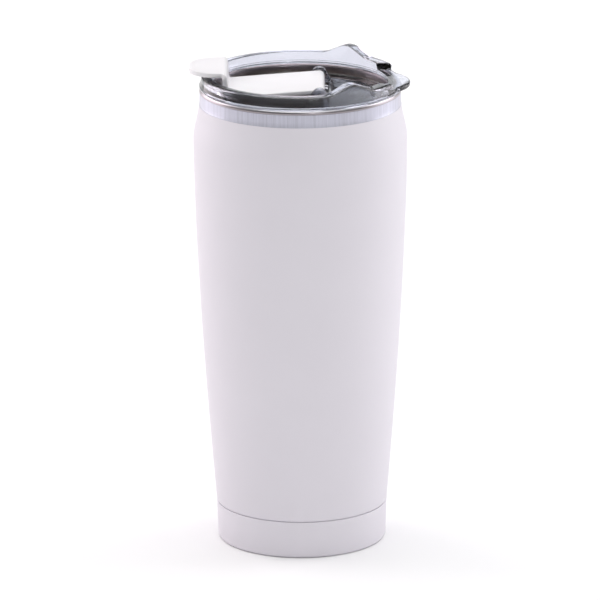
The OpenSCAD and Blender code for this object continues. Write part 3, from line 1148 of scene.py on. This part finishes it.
def model_strip(line):
    """Extrudes a rounded cross-section along the middle line."""
    start_clean()
    here = line[0]
    bpy.ops.mesh.primitive_plane_add(
        size=1, location=(here.x * MM, 0, here.y * MM), rotation=(0, math.pi / 2, 0))
    piece = bpy.context.object
    piece.name = "cover_white"
    bpy.ops.transform.resize(value=(1, 2 * half_width(here.x) * MM, PLATE_T * MM))
    settle(piece)
    edit(piece)
    bpy.ops.mesh.select_all(action="SELECT")
    bpy.ops.mesh.bevel(affect="VERTICES", offset=0.5 * MM, segments=4)
    wide, thick, angle = half_width(here.x), PLATE_T, 0.0
    riser_from, riser_to = line[0].y, TAB_MID_Z
    for i, there in enumerate(line[1:], 1):
        ahead = line[min(i + 1, len(line) - 1)] - here
        new_angle = math.atan2(ahead.y, -ahead.x)
        risen = min(max((there.y - riser_from) / (riser_to - riser_from), 0), 1)
        new_thick = PLATE_T + (TAB_T - PLATE_T) * risen + RISER_SWELL * math.sin(math.pi * risen)
        new_wide = half_width(there.x)
        if i == len(line) - 1:
            new_thick *= TIP_THICKNESS[1]
        elif i == len(line) - 2:
            new_thick *= TIP_THICKNESS[0]
        step = there - here
        centre = (there.x * MM, 0, there.y * MM)
        bpy.ops.mesh.extrude_region_move(TRANSFORM_OT_translate={"value": (step.x * MM, 0, step.y * MM)})
        turn_selection(-angle, centre)
        bpy.ops.transform.resize(value=(1, new_wide / wide, new_thick / thick), center_override=centre)
        turn_selection(new_angle, centre)
        here, wide, thick, angle = there, new_wide, new_thick, new_angle
    outwards(piece)
    return piece


# %% [markdown]
# The barrel is a rod with rounded ends, joined to the strip's lower end and bored for the pin. The whole is
# then kept to the plan of the cover, whose rear corners are round.

# %% Cover
COVER_BORE_R = 1.06
TRIM = 0.02


def model_cover():
    piece = model_strip(cover_line())
    barrel = rod("barrel", (HINGE_X, 0, HINGE_Z), BARREL_R, 2 * HALF_PLATE, ALONG_Y, 96)
    soften(barrel, 0.45)
    combine(piece, "UNION", barrel)
    right = cover_high.x
    plan = drawn_plan("plan", rounded([
        (TAB_TIP_X - 5, -HALF_PLATE - TRIM, 0), (right, -HALF_PLATE - TRIM, CORNER_R),
        (right, HALF_PLATE + TRIM, CORNER_R), (TAB_TIP_X - 5, HALF_PLATE + TRIM, 0),
    ], 8), CUP_H - 10, CUP_H + 20)
    combine(piece, "INTERSECT", plan)
    combine(piece, "DIFFERENCE", rod("bore", (HINGE_X, 0, HINGE_Z), COVER_BORE_R, 60, ALONG_Y, 48))
    outwards(piece)
    return finished(piece, 40)


cover = model_cover()
print("cover spans X", [round(f(v.co.x for v in cover.data.vertices) / MM, 2) for f in (min, max)],
      "Z", [round(f(v.co.z for v in cover.data.vertices) / MM, 2) for f in (min, max)])
paint(cover, "flip", "white_plastic", WHITE, stands_for=["flip_cover"])

# %% [markdown]
# ## Seals
# Two silicone seals hang under the cover: a pad whose plug drops into the drinking hole, and a small round
# one over the vent. They are drawn in plan, softened at their lower edges, and cut off by a bisect along the
# plate's underside.

# %% Seals
def cut_under_plate(piece):
    """Removes what lies above the plate's underside, and closes the cut."""
    edit(piece)
    bpy.ops.mesh.select_all(action="SELECT")
    on_plate = Vector((HINGE_X, 0, plate_top(HINGE_X) - PLATE_T - 0.01)) * MM
    bpy.ops.mesh.bisect(
        plane_co=on_plate, plane_no=(-math.sin(LEAN), 0, math.cos(LEAN)), use_fill=True, clear_outer=True)
    outwards(piece)
    return piece


def model_drink_seal():
    pad_low = DECK_Z + 0.7
    pad = drawn_plan("drink_seal_soft", slot_plan(DRINK_X, 10, 19), pad_low, pad_low + 5)
    soften(pad, 0.3, test=lambda p: p.z < pad_low + 0.1)
    plug = drawn_plan("plug", slot_plan(DRINK_X, 6.1, 15.1), DECK_Z - 0.6, pad_low + 0.3)
    soften(plug, 0.4, test=lambda p: p.z < DECK_Z)
    return finished(cut_under_plate(combine(pad, "UNION", plug)))


def model_vent_seal():
    low = DECK_Z + 0.2
    pad = rod("vent_seal_soft", (VENT_X, 0, low + 3), 3, 6)
    soften(pad, 0.5, test=lambda p: p.z < low + 0.1)
    return finished(cut_under_plate(pad))


paint(model_drink_seal(), "flip", "silicone", SILICONE, stands_for=["drink_seal"])
paint(model_vent_seal(), "flip", "silicone", SILICONE, stands_for=["vent_seal"])

# %% [markdown]
# ## Pieces that stay as they are
# The pin, the getter in the vacuum, its holder and the solder bead are already right as plain solids. They
# only get their finishes.

# %% Finishes of the CAD nodes
CAD_FINISHES = {
    "hinge_pin": PIN_STEEL,
    "getter_holder": DISC_STEEL,
    "getter": rough_metal("getter_alloy", (0.24, 0.23, 0.22), 1800),
    "vacuum_seal": rough_metal("solder_bead", (0.62, 0.62, 0.6), 1200),
}
for node, finish in CAD_FINISHES.items():
    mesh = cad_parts[node].data
    mesh.materials.clear()
    mesh.materials.append(finish)
print("CAD nodes kept:", ", ".join(CAD_FINISHES))
